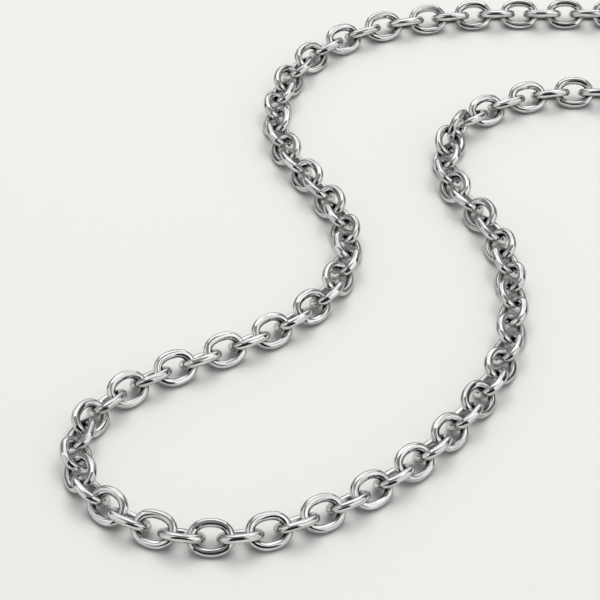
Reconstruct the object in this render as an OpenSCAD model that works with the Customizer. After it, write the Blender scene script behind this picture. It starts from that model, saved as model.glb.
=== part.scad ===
// Cable chain necklace of plain oval wire links, laid down in a loose winding loop.
// Neighbouring links interlock and lean to opposite sides, as a chain does on a flat surface.
// Units are millimetres. The origin is the middle of the loop's outline, on the surface it lies on.
// X runs to the right, Y away from the viewer and Z up.

/* [Links] */
// Outer length of a link
link_len = 8.25; // [8.1:0.05:8.4]
// Outer width of a link
link_w = 6.7; // [6.6:0.05:6.8]
// Thickness of the link wire
wire_d = 1.5; // [1.35:0.05:1.55]
// Free play between two links that are pulled tight
play = 0.2; // [0.15:0.05:0.3]

/* [Lay] */
// Lean of each link from level, to one side and the other in turn
lean = 37; // [36:1:38]
// Lean of the two links that ride on the one that stands on edge
twist_lean = 31; // [30:1:32]
// Lift of those two links
twist_lift = 0.45; // [0.4:0.05:0.5]
// Tilt of those two links towards the one on edge
twist_tip = 8; // [7:1:9]

/* [Clasp] */
// Diameter of the barrel
barrel_d = 4.2; // [4.1:0.05:4.3]
// Length of the taper at each end of the barrel
barrel_taper = 0.8; // [0.6:0.1:1]
// Diameter at the small end of the taper
barrel_end_d = 2.8; // [2.4:0.1:3.2]
// Outer diameter of the eye at each end
eye_d = 4.5; // [4.4:0.05:4.6]
// Thickness of the wire of the eyes
eye_wire = 1.1; // [1:0.05:1.15]
// Turn of the eyes from upright, which sets them nearly square to the end links
eye_turn = 34; // [30:1:38]
// Free play between an eye and its end link
eye_play = 0.35; // [0.3:0.05:0.4]

/* [Hidden] */

// Facets round a ring, round a wire and round the barrel
ring_facets = 48;
wire_facets = 32;
barrel_facets = 64;

// Heading of the chain where it leaves the clasp
start_heading = 92;

// The link that stands on edge, where the chain is twisted half a turn
twist_link = 84;
on_edge = 90;

// Columns of the table of sections
LINKS = 0;
TURN = 1;
SLACK = 2;

// Each section is a run of links, from one end of the clasp round to the other:
// how many links, by how many degrees each one turns to the left, and how much each one is pushed up
sections = [
  [4, 22, 0.2],
  [5, 0, 0.1],
  [5, 3, 0.05],
  [2, 7, 0.05],
  [11, 8, 0.15],
  [2, 1, 0.25],
  [2, -5, 0.25],
  [6, -10, 0.15],
  [3, -6, 0],
  [3, -1, 0],
  [3, 7, 0],
  [5, 15, 0.25],
  [6, 11, 0.1],
  [2, 8, 0.05],
  [7, 4, 0],
  [3, 3, 0],
  [3, 6, 0],
  [4, 4, 0],
  [4, 6, 0],
  [3, -12, 0.1],
  [3, -12, 0.35],
  [1, -12, 0.1],
  [4, -9, 0.1],
  [2, -1, 0.1],
  [1, 8, 0.2],
  [2, 20, 0.2]
];

turns = [for (s = sections) for (k = [1:s[LINKS]]) s[TURN]];
slacks = [for (s = sections) for (k = [1:s[LINKS]]) s[SLACK]];
link_count = len(turns);
taut_pitch = link_len - 2 * wire_d - play;

// Headings of the links and the places where they hook into each other, in plan
headings = [
  for (i = 0, h = start_heading + turns[0];
       i < link_count;
       i = i + 1, h = h + (i < link_count ? turns[i] : 0))
    h
];
function step(i) = (taut_pitch - slacks[i]) * [cos(headings[i]), sin(headings[i])];
joints = [
  for (i = 0, p = [0, 0];
       i <= link_count;
       p = i < link_count ? p + step(i) : p, i = i + 1)
    p
];

// A link is two half rings joined by short straight sides
ring_r = (link_w - wire_d) / 2;
half_side = (link_len - link_w) / 2;

function rides_up(i) = abs(i - twist_link) == 1;
function side(i) = (i % 2 == 0 ? -1 : 1) * (i < twist_link ? 1 : -1);
function roll_of(i) = i == twist_link ? on_edge : (rides_up(i) ? twist_lean : lean) * side(i);
function tip_of(i) = rides_up(i) ? twist_tip * (twist_link - i) : 0;
function lift_of(i) = rides_up(i) ? twist_lift : 0;

// Directions along the link and across it
function along(i) = [
  cos(tip_of(i)) * cos(headings[i]),
  cos(tip_of(i)) * sin(headings[i]),
  sin(tip_of(i))
];
function across(i) = let (h = headings[i], t = tip_of(i), r = roll_of(i)) [
  -cos(r) * sin(h) - sin(r) * sin(t) * cos(h),
  cos(r) * cos(h) - sin(r) * sin(t) * sin(h),
  sin(r) * cos(t)
];

// How far a link reaches from its middle along axis k
function reach(i, k) =
  half_side * abs(along(i)[k]) + ring_r * norm([along(i)[k], across(i)[k]]) + wire_d / 2;
function middle(i) = (joints[i] + joints[i + 1]) / 2;

// The clasp fills the space between the two ends of the chain
clasp_gap = joints[0] - joints[link_count];
clasp_span = norm(clasp_gap);
clasp_heading = atan2(clasp_gap[1], clasp_gap[0]);
clasp_middle = (joints[0] + joints[link_count]) / 2;
eye_r = (eye_d - eye_wire) / 2;
end_overlap = (link_len - wire_d - taut_pitch + slacks[0]) / 2;
eye_overlap = (wire_d + eye_wire) / 2 + eye_play - end_overlap;
eye_middle = clasp_span / 2 + eye_overlap - eye_r;
barrel_half = eye_middle - eye_r;

// The outline's middle goes to the origin
right_edge = max([for (i = [0:link_count - 1]) middle(i)[0] + reach(i, 0)]);
left_edge = min([for (i = [0:link_count - 1]) middle(i)[0] - reach(i, 0)]);
far_edge = max([for (i = [0:link_count - 1]) middle(i)[1] + reach(i, 1)]);
near_edge = min([for (i = [0:link_count - 1]) middle(i)[1] - reach(i, 1)]);
outline_right = max(right_edge, clasp_middle[0] + barrel_d / 2);
outline_middle = [(left_edge + outline_right) / 2, (near_edge + far_edge) / 2];

module half_ring() {
  translate([half_side, 0, 0])
    rotate([0, 0, -90])
      rotate_extrude(angle = 180, $fn = ring_facets)
        translate([ring_r, 0])
          circle(d = wire_d, $fn = wire_facets);
}

module straight_side() {
  translate([-half_side, ring_r, 0])
    rotate([0, 90, 0])
      cylinder(d = wire_d, h = 2 * half_side, $fn = wire_facets);
}

module link() {
  for (end = [0, 180]) {
    rotate([0, 0, end]) half_ring();
    rotate([0, 0, end]) straight_side();
  }
}

module chain() {
  color([0.76, 0.76, 0.77])
    translate([-outline_middle[0], -outline_middle[1], 0])
      for (i = [0:link_count - 1])
        translate([middle(i)[0], middle(i)[1], reach(i, 2) + lift_of(i)])
          rotate([0, -tip_of(i), headings[i]])
            rotate([roll_of(i), 0, 0])
              link();
}

module barrel() {
  rotate([0, 90, 0])
    rotate_extrude($fn = barrel_facets)
      polygon([
        [0, -barrel_half],
        [barrel_end_d / 2, -barrel_half],
        [barrel_d / 2, barrel_taper - barrel_half],
        [barrel_d / 2, barrel_half - barrel_taper],
        [barrel_end_d / 2, barrel_half],
        [0, barrel_half]
      ]);
}

module eye() {
  translate([eye_middle, 0, 0])
    rotate([90 - eye_turn, 0, 0])
      rotate_extrude($fn = ring_facets)
        translate([eye_r, 0])
          circle(d = eye_wire, $fn = wire_facets);
}

module clasp() {
  color([0.74, 0.74, 0.75])
    translate([clasp_middle[0] - outline_middle[0], clasp_middle[1] - outline_middle[1], barrel_d / 2])
      rotate([0, 0, clasp_heading]) {
        barrel();
        for (end = [0, 1]) mirror([end, 0, 0]) eye();
      }
}

chain();
clasp();
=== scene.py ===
import math

import bmesh
import bpy
import numpy as np
from mathutils import Matrix, Vector


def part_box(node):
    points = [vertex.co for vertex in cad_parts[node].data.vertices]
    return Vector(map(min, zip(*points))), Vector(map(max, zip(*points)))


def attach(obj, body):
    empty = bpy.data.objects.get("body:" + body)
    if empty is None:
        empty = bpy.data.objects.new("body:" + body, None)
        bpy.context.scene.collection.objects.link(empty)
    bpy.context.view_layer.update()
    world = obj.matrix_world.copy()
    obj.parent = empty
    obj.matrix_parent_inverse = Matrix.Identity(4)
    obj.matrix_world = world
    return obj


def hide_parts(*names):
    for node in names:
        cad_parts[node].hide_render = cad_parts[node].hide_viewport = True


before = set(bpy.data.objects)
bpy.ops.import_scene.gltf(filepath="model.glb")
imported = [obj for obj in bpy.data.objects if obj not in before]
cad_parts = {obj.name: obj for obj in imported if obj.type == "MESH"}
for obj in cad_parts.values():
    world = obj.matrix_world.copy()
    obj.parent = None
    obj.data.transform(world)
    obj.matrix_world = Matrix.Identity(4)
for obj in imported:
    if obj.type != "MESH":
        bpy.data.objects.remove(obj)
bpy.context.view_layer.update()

bl_info = {
    "name": "Cable chain necklace",
    "version": (1, 0, 0),
    "blender": (4, 5, 0),
    "location": "View3D > Sidebar > Necklace",
    "description": "Oval wire links, barrel clasp and studio of a cable chain necklace",
    "category": "Object",
}

MM = 0.001

# Names of the runs of links, from one end of the clasp round to the other
RUNS = ("links_far_run", "links_left_run", "links_near_run", "links_right_run")
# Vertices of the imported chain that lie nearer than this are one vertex
SAME_POINT = 0.002 * MM
# Of a direction and its opposite, the one that points more this way is used
PREFERRED_WAY = np.array([1.0, 0.6, 0.3])
# Vertices that are compared with a neighbour's wire at a time, which bounds the memory in use
BATCH = 480

# Facets of the drawn wire: how many follow each other along one link and how many lie round its wire
FACETS_ALONG, FACETS_ROUND = 4.0, 11.0
# How many times finer than the facets the lines of the drawn wire are
LINES_TO_FACET = 2.0
# How far the facets and lines move on from one link to the next, so that no two links are alike
PATTERN_SHIFT = np.array([7.3, 2.9, 0.0])
# Tint that dulls the polished steel's reflections at grazing angles
GRAZING_TINT = (0.68, 0.68, 0.68, 1)
# About how many of the polished steel's faint waves lie across a metre of it
WAVES_PER_METRE = 520.0
# The roughest places of either steel are this many times rougher than its best polished ones
ROUGHEST = 1.8

# Beyond this share of its half length the clasp is nothing but its eyes
EYE_SHARE = 0.75
# Shares of an end face's radius: its flat middle, and the rounding where that middle ends
FLAT_SHARE, FLAT_ROUNDING = 0.3, 0.8
# Roundings of the barrel at the edge of each end face and at each shoulder
EDGE_ROUNDING, SHOULDER_ROUNDING = 0.35 * MM, 0.6 * MM
# Points along each rounding and round the barrel
ROUNDING_POINTS, BARREL_SIDES = 7, 72
# Sections round each eye and points round its wire
EYE_STEPS, EYE_SIDES = 64, 24
# Edges of the clasp that turn by more than this stay sharp
SHARP_TURN = math.radians(35)
# Lines turned into the barrel: about how many of them end to end make a metre, and their thickness
# as a share of their length
TURNED_PER_METRE, TURNED_LINE = 300.0, 0.025

# Panels of the light tent, which is open towards the camera:
# name, azimuth, elevation, width, height, brightness
TENT = (
    ("back_panel", 0, 48, 2.3, 2.7, 1.03),
    ("right_panel", 112, 34, 2.6, 2.6, 1.10),
    ("left_panel", -106, 28, 2.7, 2.5, 0.82),
    ("back_fill", 0, 40, 7.0, 3.8, 0.29),
    ("top_fill", 0, 88, 3.4, 3.4, 0.28),
)
# Warm lamp high behind the necklace that keeps its shadows short and doesn't show in the steel
FLOOR_LAMP = ("floor_lamp", 12, 70, 2.0, 2.0, 3.00)
FLOOR_LAMP_COLOUR = (1.0, 1.0, 0.88)
# Width of the picture in pixels, and of the camera's sensor in the camera's own millimetres
PICTURE_WIDTH, SENSOR_WIDTH = 600, 36.0
# The nearest and the farthest that the camera sees
NEAREST, FARTHEST = 0.01, 20.0


class NecklaceLinkSettings(bpy.types.PropertyGroup):
    """Sizes and finish of the wire links."""

    wire: bpy.props.FloatProperty(
        name="Wire thickness", description="Diameter of the link wire",
        default=1.58 * MM, unit="LENGTH",
    )
    fullness: bpy.props.FloatProperty(
        name="Fullness", description="Shape of the oval: 2 is an ellipse, and more fills out its shoulders",
        default=2.25,
    )
    steps: bpy.props.IntProperty(
        name="Steps round", description="Sections round each link", default=80,
    )
    sides: bpy.props.IntProperty(
        name="Wire sides", description="Points round each section of the wire", default=24,
    )
    colour: bpy.props.FloatVectorProperty(
        name="Steel", description="Colour of the polished steel",
        default=(0.76, 0.759, 0.752), size=3, subtype="COLOR",
    )
    dull_colour: bpy.props.FloatVectorProperty(
        name="Dull steel", description="Colour in the lines of the drawn wire",
        default=(0.46, 0.459, 0.456), size=3, subtype="COLOR",
    )
    # Painted shade: the steel turns to this dark colour where two links touch, in place of the shade that
    # falls between them. The next setting is how far that painted shade spreads.
    crevice_shade_colour: bpy.props.FloatVectorProperty(
        name="Crevice", description="Colour where two links touch and no polish reaches",
        default=(0.13, 0.13, 0.13), size=3, subtype="COLOR",
    )
    crevice_shade_reach: bpy.props.FloatProperty(
        name="Crevice reach", description="How far the darker steel reaches from where two links touch",
        default=0.85 * MM, unit="LENGTH",
    )
    roughness: bpy.props.FloatProperty(
        name="Roughness", description="Roughness of the best polished places",
        default=0.045, subtype="FACTOR",
    )


class NecklaceClaspSettings(bpy.types.PropertyGroup):
    """Sizes and finish of the barrel clasp."""

    barrel: bpy.props.FloatProperty(
        name="Barrel", description="Diameter of the barrel", default=4.2 * MM, unit="LENGTH",
    )
    barrel_end: bpy.props.FloatProperty(
        name="Barrel end", description="Diameter at the small end of the taper",
        default=2.8 * MM, unit="LENGTH",
    )
    taper: bpy.props.FloatProperty(
        name="Taper", description="Length of the taper at each end", default=0.8 * MM, unit="LENGTH",
    )
    crown: bpy.props.FloatProperty(
        name="Crown", description="How far each end face domes out", default=0.12 * MM, unit="LENGTH",
    )
    eye: bpy.props.FloatProperty(
        name="Eye", description="Outer diameter of the eyes", default=4.5 * MM, unit="LENGTH",
    )
    eye_wire: bpy.props.FloatProperty(
        name="Eye wire", description="Thickness of the wire of the eyes", default=1.1 * MM, unit="LENGTH",
    )
    colour: bpy.props.FloatVectorProperty(
        name="Steel", description="Colour of the turned steel",
        default=(0.66, 0.66, 0.665), size=3, subtype="COLOR",
    )
    roughness: bpy.props.FloatProperty(
        name="Roughness", description="Roughness of the best polished places",
        default=0.2, subtype="FACTOR",
    )


class NecklaceStageSettings(bpy.types.PropertyGroup):
    """Camera, floor and lights."""

    camera_place: bpy.props.FloatVectorProperty(
        name="Camera place", description="Where the camera stands",
        default=(-22.49 * MM, -373.43 * MM, 300.27 * MM), size=3, subtype="TRANSLATION",
    )
    camera_drop: bpy.props.FloatProperty(
        name="Camera drop", description="How far the camera looks down from level",
        default=math.radians(39.9), subtype="ANGLE",
    )
    focal_pixels: bpy.props.FloatProperty(
        name="Focal length in pixels", description="Focal length in pixels of the picture", default=2493.0,
    )
    floor_colour: bpy.props.FloatVectorProperty(
        name="Floor", description="Colour of the floor",
        default=(0.636, 0.639, 0.646), size=3, subtype="COLOR",
    )
    floor_size: bpy.props.FloatProperty(
        name="Floor size", description="Length of the floor's sides", default=6.0, unit="LENGTH",
    )
    lamp_distance: bpy.props.FloatProperty(
        name="Lamp distance", description="Distance of the tent's panels and of the floor's lamp",
        default=2.2, unit="LENGTH",
    )
    room_light: bpy.props.FloatProperty(
        name="Room light", description="Brightness of the dark room round the tent", default=0.03,
    )


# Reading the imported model


def steady(axis):
    """The axis or its opposite, whichever points more to the right, away and up."""
    return axis if axis @ PREFERRED_WAY > 0 else -axis


def spread_directions(offsets):
    """Unit directions in which the offsets spread, from the least to the most."""
    return np.linalg.eigh(offsets.T @ offsets)[1].T


def centred_along(points, middle, axis):
    """How far the points reach in all along the axis, and the middle moved to half way of that."""
    reach = (points - middle) @ axis
    return reach.max() - reach.min(), middle + axis * (reach.max() + reach.min()) / 2


def link_frame(points):
    """A link's middle, directions along and across it, length, width and the height of its lowest point."""
    middle = (points.max(0) + points.min(0)) / 2
    across, along = (steady(axis) for axis in spread_directions(points - points.mean(0))[1:])
    length, middle = centred_along(points, middle, along)
    width, middle = centred_along(points, middle, across)
    middle = centred_along(points, middle, np.cross(along, across))[1]
    return {
        "middle": middle, "along": along, "across": across,
        "length": length, "width": width, "lowest": points[:, 2].min(),
    }


def in_order(links):
    """The links as they follow each other, from the clasp's far end round to its near end."""
    low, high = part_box("clasp")
    # The way round starts at the far side of the clasp's box
    here = np.array((low + high) / 2)
    here[1] = high[1]
    left, ordered = list(links), []
    while left:
        gaps = [np.linalg.norm(link["middle"] - here) for link in left]
        ordered.append(left.pop(int(np.argmin(gaps))))
        here = ordered[-1]["middle"]
    return ordered


def packed_links(node):
    """What link_frame says of each loose packed link, in order from the clasp round."""
    mesh = bmesh.new()
    mesh.from_mesh(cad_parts[node].data)
    bmesh.ops.remove_doubles(mesh, verts=mesh.verts, dist=SAME_POINT)
    mesh.verts.index_update()
    seen = [False] * len(mesh.verts)
    links = []
    for first in mesh.verts:
        if seen[first.index]:
            continue
        seen[first.index] = True
        island, rim = [], [first]
        while rim:
            vertex = rim.pop()
            island.append(vertex.co[:])
            for edge in vertex.link_edges:
                other = edge.other_vert(vertex)
                if not seen[other.index]:
                    seen[other.index] = True
                    rim.append(other)
        links.append(link_frame(np.array(island)))
    mesh.free()
    return in_order(links)


def packed_clasp(node):
    """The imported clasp's middle, half length and directions: along, across in its eyes' plane, through."""
    points = np.array([vertex.co[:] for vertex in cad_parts[node].data.vertices])
    plan = points[:, :2] - points[:, :2].mean(0)
    along = steady(np.append(spread_directions(plan)[-1], 0))
    length, middle = centred_along(points, (points.max(0) + points.min(0)) / 2, along)
    # What lies near the far end of either eye shows how the eyes are turned
    offsets = points - middle
    outer = offsets[np.abs(offsets @ along) > EYE_SHARE * length / 2]
    across = steady(spread_directions(outer - np.outer(outer @ along, along))[-1])
    return middle, length / 2, along, across, np.cross(along, across)


# Shapes of the wire links


def full_turn(count):
    """Evenly spaced angles of one full turn."""
    return np.linspace(0, 2 * np.pi, count, endpoint=False)


def wire_oval(length, width, wire, fullness, steps):
    """Points of the wire's centre-line in the link's plane, and the outward directions there."""
    cosine, sine = np.cos(full_turn(steps)), np.sin(full_turn(steps))
    power = 2 / fullness
    points = np.stack([
        (length - wire) / 2 * np.sign(cosine) * np.abs(cosine) ** power,
        (width - wire) / 2 * np.sign(sine) * np.abs(sine) ** power,
    ], axis=1)
    chord = np.roll(points, -1, axis=0) - np.roll(points, 1, axis=0)
    chord /= np.linalg.norm(chord, axis=1, keepdims=True)
    return points, np.stack([chord[:, 1], -chord[:, 0]], axis=1)


def laid_oval(link, points, wire):
    """The centre-line of one link's wire, lying as low as the solid does."""
    centre_line = link["middle"] + points[:, :1] * link["along"] + points[:, 1:] * link["across"]
    return centre_line + np.array([0, 0, link["lowest"] + wire / 2 - centre_line[:, 2].min()])


def wire_ring(link, centre_line, outward, wire, sides):
    """Vertices of one link: a round wire swept along its oval."""
    through = np.cross(link["along"], link["across"])
    out = outward[:, :1] * link["along"] + outward[:, 1:] * link["across"]
    angle = full_turn(sides)[:, None]
    return np.vstack([
        point + wire / 2 * (np.cos(angle) * away + np.sin(angle) * through)
        for point, away in zip(centre_line, out)
    ])


def ring_faces(steps, sides):
    """Quads of a closed ring of sections."""
    return [
        (
            i * sides + j,
            (i + 1) % steps * sides + j,
            (i + 1) % steps * sides + (j + 1) % sides,
            i * sides + (j + 1) % sides,
        )
        for i in range(steps)
        for j in range(sides)
    ]


def closeness(vertices, neighbours, wire, reach):
    """How near each vertex lies to the neighbouring links' wire: 1 where they touch and 0 from reach on."""
    near = np.full(len(vertices), np.inf)
    for centre_line in neighbours:
        for start in range(0, len(vertices), BATCH):
            batch = slice(start, start + BATCH)
            gap = np.linalg.norm(vertices[batch, None] - centre_line[None], axis=2).min(1) - wire / 2
            near[batch] = np.minimum(near[batch], gap)
    return np.clip(1 - near / reach, 0, 1)


def wire_places(members, steps, sides):
    """Places on each link's wire for its patterns, as three numbers and a fourth so that no seam shows."""
    turn, side = (grid.ravel() for grid in np.meshgrid(full_turn(steps), full_turn(sides), indexing="ij"))
    along, around = FACETS_ALONG / (2 * np.pi), FACETS_ROUND / (2 * np.pi)
    one_link = np.stack([along * np.cos(turn), along * np.sin(turn), around * np.cos(side)], axis=1)
    places = np.vstack([one_link + PATTERN_SHIFT * i for i in members])
    return places, np.tile(around * np.sin(side), len(members))


def keep_on_vertices(piece, name, values):
    """Keeps a number or a place for each vertex under a name that the material reads."""
    kind, key = ("FLOAT_VECTOR", "vector") if values.ndim == 2 else ("FLOAT", "value")
    layer = piece.data.attributes.new(name, kind, "POINT")
    layer.data.foreach_set(key, values.ravel())


# Shapes of the barrel clasp


def softened(corners, radii):
    """A line through the corners in a plane, rounded at each inner corner by the radius given for it."""
    corners = [np.array(corner, float) for corner in corners]
    line = [corners[0]]
    for before, corner, after, radius in zip(corners, corners[1:], corners[2:], radii):
        back, ahead = before - corner, after - corner
        back, ahead = back / np.linalg.norm(back), ahead / np.linalg.norm(ahead)
        half = math.acos(max(-1.0, min(1.0, back @ ahead))) / 2
        cut = radius / math.tan(half)
        for part in np.linspace(0, 1, ROUNDING_POINTS):
            # A quadratic curve is near enough to an arc at these turns
            line.append(corner + back * cut * (1 - part) ** 2 + ahead * cut * part ** 2)
    line.append(corners[-1])
    return np.array(line)


def barrel_profile(sizes, end):
    """The barrel's outline from one end of its axis to the other: domed end faces, tapers and soft edges."""
    wide, small = sizes.barrel / 2, sizes.barrel_end / 2
    crown = end + sizes.crown
    half = [(crown, 0), (crown, FLAT_SHARE * small), (end, small), (end - sizes.taper, wide)]
    corners = half + [(-x, radius) for x, radius in reversed(half)]
    radii = [FLAT_ROUNDING * small, EDGE_ROUNDING, SHOULDER_ROUNDING]
    return softened(corners, radii + radii[::-1])


def lathed(profile, sides):
    """Vertices and faces of a form turned about the X axis, from a profile that starts and ends there."""
    vertices = [(profile[0][0], 0, 0)]
    for x, radius in profile[1:-1]:
        vertices += [(x, radius * math.cos(turn), radius * math.sin(turn)) for turn in full_turn(sides)]
    vertices.append((profile[-1][0], 0, 0))
    last = len(vertices) - 1
    rings = len(profile) - 2
    faces = [(0, 1 + j, 1 + (j + 1) % sides) for j in range(sides)]
    for i in range(rings - 1):
        a, b = 1 + i * sides, 1 + (i + 1) * sides
        faces += [(a + j, b + j, b + (j + 1) % sides, a + (j + 1) % sides) for j in range(sides)]
    a = 1 + (rings - 1) * sides
    faces += [(last, a + (j + 1) % sides, a + j) for j in range(sides)]
    return vertices, faces


def wire_eye(middle_x, radius, wire):
    """Vertices and faces of a ring of wire in the XY plane."""
    vertices = []
    for turn in full_turn(EYE_STEPS):
        for angle in full_turn(EYE_SIDES):
            reach, height = radius + wire / 2 * math.cos(angle), wire / 2 * math.sin(angle)
            vertices.append((middle_x + reach * math.cos(turn), reach * math.sin(turn), height))
    return vertices, ring_faces(EYE_STEPS, EYE_SIDES)


# Mesh objects


def new_piece(name, vertices, faces, material):
    """A smooth mesh object in the scene."""
    mesh = bpy.data.meshes.new(name)
    mesh.from_pydata(vertices, [], faces)
    mesh.materials.append(material)
    mesh.update()
    mesh.shade_smooth()
    piece = bpy.data.objects.new(name, mesh)
    bpy.context.scene.collection.objects.link(piece)
    return piece


def union(base, others):
    """Joins the other pieces to the base as one closed form, and takes them away."""
    for other in others:
        joining = base.modifiers.new("join", "BOOLEAN")
        joining.operation = "UNION"
        joining.solver = "EXACT"
        joining.object = other
    bpy.context.view_layer.update()
    whole = bpy.data.meshes.new_from_object(base.evaluated_get(bpy.context.evaluated_depsgraph_get()))
    base.modifiers.clear()
    base.data = whole
    for other in others:
        bpy.data.objects.remove(other)


# Finishes


def new_material(name):
    """A new material, its node tree and its shader."""
    material = bpy.data.materials.new(name)
    material.use_nodes = True
    return material, material.node_tree, material.node_tree.nodes["Principled BSDF"]


def vertex_value(tree, name, output):
    """What the vertices keep under the name: its Vector is a place and its Fac a number."""
    node = tree.nodes.new("ShaderNodeAttribute")
    node.attribute_name = name
    return node.outputs[output]


def object_place(tree):
    """Each point's place in the object's own space."""
    return tree.nodes.new("ShaderNodeTexCoord").outputs["Object"]


def noise(tree, place, scale, detail, fourth=None):
    """A soft uneven pattern over places of three numbers, or of four."""
    node = tree.nodes.new("ShaderNodeTexNoise")
    node.inputs["Scale"].default_value = scale
    node.inputs["Detail"].default_value = detail
    tree.links.new(place, node.inputs["Vector"])
    if fourth is not None:
        node.noise_dimensions = "4D"
        tree.links.new(fourth, node.inputs["W"])
    return node.outputs["Fac"]


def spread(tree, value, low=0.0, high=1.0, at_low=0.0, at_high=1.0, smooth=False):
    """The value, stretched so that it is at_low from low down and at_high from high up."""
    node = tree.nodes.new("ShaderNodeMapRange")
    node.interpolation_type = "SMOOTHSTEP" if smooth else "LINEAR"
    node.inputs["From Min"].default_value = low
    node.inputs["From Max"].default_value = high
    node.inputs["To Min"].default_value = at_low
    node.inputs["To Max"].default_value = at_high
    tree.links.new(value, node.inputs["Value"])
    return node.outputs["Result"]


def mixed(tree, share, first, second):
    """The first colour, which may be another node's output, turned into the second by the share."""
    node = tree.nodes.new("ShaderNodeMix")
    node.data_type = "RGBA"
    if isinstance(first, bpy.types.NodeSocket):
        tree.links.new(first, node.inputs["A"])
    else:
        node.inputs["A"].default_value = (*first, 1)
    node.inputs["B"].default_value = (*second, 1)
    tree.links.new(share, node.inputs["Factor"])
    return node.outputs["Result"]


def bump(tree, height, strength, distance, under=None):
    """The surface raised by the height, on top of the bump under it where there is one."""
    node = tree.nodes.new("ShaderNodeBump")
    node.inputs["Strength"].default_value = strength
    node.inputs["Distance"].default_value = distance
    tree.links.new(height, node.inputs["Height"])
    if under is not None:
        tree.links.new(under, node.inputs["Normal"])
    return node.outputs["Normal"]


def polished_steel(finish):
    """Polished steel wire, with faint waves, facets and lines along the drawn wire, and painted shade where
    links touch.
    """
    material, tree, shader = new_material("polished_steel")
    shader.inputs["Metallic"].default_value = 1.0
    shader.inputs["Specular Tint"].default_value = GRAZING_TINT

    place = vertex_value(tree, "wire_turn", "Vector")
    fourth = vertex_value(tree, "wire_round", "Fac")
    facets = noise(tree, place, scale=1.0, detail=0.0, fourth=fourth)
    lines = noise(tree, place, scale=LINES_TO_FACET, detail=1.0, fourth=fourth)
    waves = noise(tree, object_place(tree), scale=WAVES_PER_METRE, detail=1.0)

    drawn = mixed(tree, spread(tree, lines, low=0.38, high=0.60), finish.dull_colour, finish.colour)
    # Painted shade: the base colour darkens where neighbouring links come close, in place of the shade
    # between them
    touch = spread(tree, vertex_value(tree, "closeness", "Fac"), low=0.1, high=0.9, smooth=True)
    tree.links.new(mixed(tree, touch, drawn, finish.crevice_shade_colour), shader.inputs["Base Color"])

    smoothest, roughest = finish.roughness, finish.roughness * ROUGHEST
    polish = spread(tree, lines, low=0.35, high=0.65, at_low=smoothest, at_high=roughest)
    tree.links.new(polish, shader.inputs["Roughness"])

    surface = bump(tree, waves, strength=0.25, distance=0.06 * MM)
    surface = bump(tree, facets, strength=1.0, distance=0.11 * MM, under=surface)
    surface = bump(tree, lines, strength=0.5, distance=0.02 * MM, under=surface)
    tree.links.new(surface, shader.inputs["Normal"])
    return material


def turned_steel(finish, heading):
    """Steel turned on a lathe, with fine lines round a barrel that lies along the heading."""
    material, tree, shader = new_material("turned_steel")
    shader.inputs["Metallic"].default_value = 1.0
    shader.inputs["Base Color"].default_value = (*finish.colour, 1)
    squeeze = tree.nodes.new("ShaderNodeMapping")
    squeeze.vector_type = "TEXTURE"
    squeeze.inputs["Rotation"].default_value = (0, 0, heading)
    squeeze.inputs["Scale"].default_value = (TURNED_LINE, 1.0, 1.0)
    tree.links.new(object_place(tree), squeeze.inputs["Vector"])
    lines = noise(tree, squeeze.outputs["Vector"], scale=TURNED_PER_METRE, detail=2.0)
    polish = spread(tree, lines, at_low=finish.roughness, at_high=finish.roughness * ROUGHEST)
    tree.links.new(polish, shader.inputs["Roughness"])
    return material


def floor_paper(colour):
    """Plain matt paper."""
    material, _, shader = new_material("floor_paper")
    shader.inputs["Base Color"].default_value = (*colour, 1)
    shader.inputs["Roughness"].default_value = 0.9
    shader.inputs["Specular IOR Level"].default_value = 0.1
    return material


# Lights and camera


def soft_box(name, azimuth, elevation, width, height, brightness, distance):
    """A flat lamp that faces the necklace. Azimuth 0 is behind it and 90 to its right, in degrees."""
    lamp = bpy.data.lights.new(name, "AREA")
    lamp.shape = "RECTANGLE"
    lamp.size, lamp.size_y = width, height
    # The power grows with the lamp's face, so that lamps of any size look as bright as each other
    lamp.energy = brightness * math.pi * width * height
    box = bpy.data.objects.new(name, lamp)
    bpy.context.scene.collection.objects.link(box)
    a, e = math.radians(azimuth), math.radians(elevation)
    towards = Vector((math.sin(a) * math.cos(e), math.cos(a) * math.cos(e), math.sin(e)))
    box.location = towards * distance
    box.rotation_mode = "QUATERNION"
    box.rotation_quaternion = towards.to_track_quat("Z", "Y")
    return box


def light_room(brightness):
    """A dim even room round the light tent."""
    world = bpy.data.worlds.new("room")
    world.use_nodes = True
    background = world.node_tree.nodes["Background"]
    background.inputs["Color"].default_value = (1, 1, 1, 1)
    background.inputs["Strength"].default_value = brightness
    return world


def new_camera(place, drop, focal_pixels):
    """A camera that looks along Y and down by the drop."""
    lens = bpy.data.cameras.new("camera")
    lens.sensor_width = SENSOR_WIDTH
    lens.lens = focal_pixels * SENSOR_WIDTH / PICTURE_WIDTH
    lens.clip_start, lens.clip_end = NEAREST, FARTHEST
    camera = bpy.data.objects.new("camera", lens)
    camera.location = place
    camera.rotation_euler = (math.pi / 2 - drop, 0, 0)
    bpy.context.scene.collection.objects.link(camera)
    return camera


# Operators and panel


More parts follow.
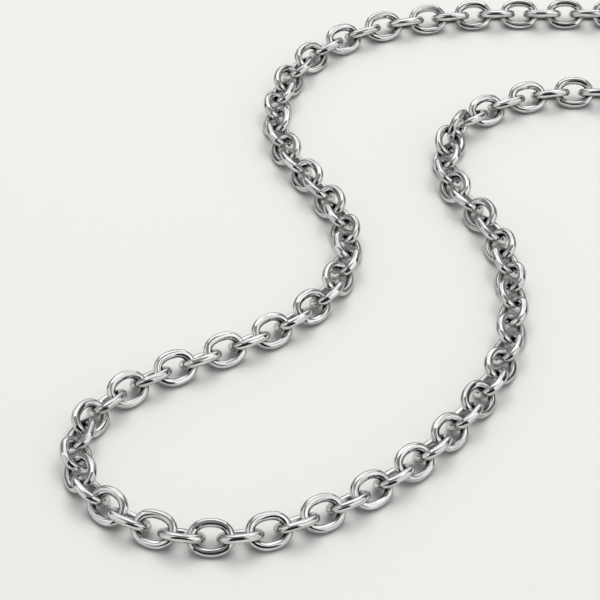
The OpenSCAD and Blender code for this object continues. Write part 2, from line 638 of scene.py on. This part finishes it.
class NECKLACE_OT_links(bpy.types.Operator):
    """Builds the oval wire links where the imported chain's solids lie"""

    bl_idname = "necklace.links"
    bl_label = "Links"

    def execute(self, context):
        finish = context.scene.necklace_links
        wire, steps, sides = finish.wire, finish.steps, finish.sides
        links = packed_links("chain")
        if len(links) < len(RUNS):
            raise RuntimeError("The packed chain has too few links for its runs")
        length = np.median([link["length"] for link in links])
        width = np.median([link["width"] for link in links])
        points, outward = wire_oval(length, width, wire, finish.fullness, steps)
        ovals = [laid_oval(link, points, wire) for link in links]
        faces = np.array(ring_faces(steps, sides))
        material = polished_steel(finish)
        for run, members in zip(RUNS, np.array_split(np.arange(len(links)), len(RUNS))):
            rings = [wire_ring(links[i], ovals[i], outward, wire, sides) for i in members]
            run_faces = np.vstack([faces + k * steps * sides for k in range(len(members))])
            piece = new_piece(run, np.vstack(rings).tolist(), run_faces.tolist(), material)
            places, fourths = wire_places(members, steps, sides)
            # How near each vertex lies to its neighbouring links, which sets where the shade between them is
            # painted
            near = [
                closeness(ring, ovals[max(i - 1, 0):i] + ovals[i + 1:i + 2], wire, finish.crevice_shade_reach)
                for i, ring in zip(members, rings)
            ]
            keep_on_vertices(piece, "wire_turn", places)
            keep_on_vertices(piece, "wire_round", fourths)
            keep_on_vertices(piece, "closeness", np.concatenate(near))
            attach(piece, "root")
            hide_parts("chain")
        return {"FINISHED"}


class NECKLACE_OT_clasp(bpy.types.Operator):
    """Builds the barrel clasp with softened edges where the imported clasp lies"""

    bl_idname = "necklace.clasp"
    bl_label = "Clasp"

    def execute(self, context):
        finish = context.scene.necklace_clasp
        middle, half_length, along, across, through = packed_clasp("clasp")
        material = turned_steel(finish, heading=math.atan2(along[1], along[0]))
        eye_radius = (finish.eye - finish.eye_wire) / 2
        eye_middle = half_length - finish.eye / 2
        profile = barrel_profile(finish, eye_middle - eye_radius)
        barrel = new_piece("barrel_clasp", *lathed(profile, BARREL_SIDES), material)
        eyes = [
            new_piece("eye", *wire_eye(x, eye_radius, finish.eye_wire), material)
            for x in (eye_middle, -eye_middle)
        ]
        union(barrel, eyes)
        if not barrel.data.polygons:
            raise RuntimeError("The clasp's barrel and eyes didn't join")
        barrel.data.shade_smooth()
        barrel.data.set_sharp_from_angle(angle=SHARP_TURN)
        lay = Matrix((along, across, through)).transposed().to_4x4()
        barrel.data.transform(Matrix.Translation(middle) @ lay)
        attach(barrel, "root")
        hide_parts("clasp")
        return {"FINISHED"}


class NECKLACE_OT_stage(bpy.types.Operator):
    """Sets up the floor, the lights and the camera"""

    bl_idname = "necklace.stage"
    bl_label = "Stage"

    def execute(self, context):
        scene = context.scene
        stage = scene.necklace_stage
        half = stage.floor_size / 2
        corners = [(-half, -half, 0), (half, -half, 0), (half, half, 0), (-half, half, 0)]
        floor = new_piece("floor", corners, [(0, 1, 2, 3)], floor_paper(stage.floor_colour))

        for panel in TENT:
            soft_box(*panel, stage.lamp_distance)
        floor_lamp = soft_box(*FLOOR_LAMP, stage.lamp_distance)
        floor_lamp.data.color = FLOOR_LAMP_COLOUR
        floor_lamp.visible_glossy = False
        scene.world = light_room(stage.room_light)

        scene.camera = new_camera(stage.camera_place, stage.camera_drop, stage.focal_pixels)
        scene.view_settings.view_transform = "Standard"
        return {"FINISHED"}


class NECKLACE_PT_panel(bpy.types.Panel):
    """Lists the necklace's pieces and stage"""

    bl_idname = "NECKLACE_PT_panel"
    bl_label = "Necklace"
    bl_space_type = "VIEW_3D"
    bl_region_type = "UI"
    bl_category = "Necklace"

    def draw(self, context):
        scene = context.scene
        for operator, group in (
            (NECKLACE_OT_links, scene.necklace_links),
            (NECKLACE_OT_clasp, scene.necklace_clasp),
            (NECKLACE_OT_stage, scene.necklace_stage),
        ):
            box = self.layout.box()
            box.operator(operator.bl_idname)
            for name in group.__annotations__:
                box.prop(group, name)


CLASSES = (
    NecklaceLinkSettings, NecklaceClaspSettings, NecklaceStageSettings,
    NECKLACE_OT_links, NECKLACE_OT_clasp, NECKLACE_OT_stage, NECKLACE_PT_panel,
)


def register():
    """Adds the classes and the scene's settings."""
    for item in CLASSES:
        bpy.utils.register_class(item)
    bpy.types.Scene.necklace_links = bpy.props.PointerProperty(type=NecklaceLinkSettings)
    bpy.types.Scene.necklace_clasp = bpy.props.PointerProperty(type=NecklaceClaspSettings)
    bpy.types.Scene.necklace_stage = bpy.props.PointerProperty(type=NecklaceStageSettings)


def unregister():
    """Takes the classes and the scene's settings away."""
    del bpy.types.Scene.necklace_stage
    del bpy.types.Scene.necklace_clasp
    del bpy.types.Scene.necklace_links
    for item in reversed(CLASSES):
        bpy.utils.unregister_class(item)


def main():
    register()
    bpy.ops.necklace.links()
    bpy.ops.necklace.clasp()
    bpy.ops.necklace.stage()


if __name__ == "__main__":
    main()
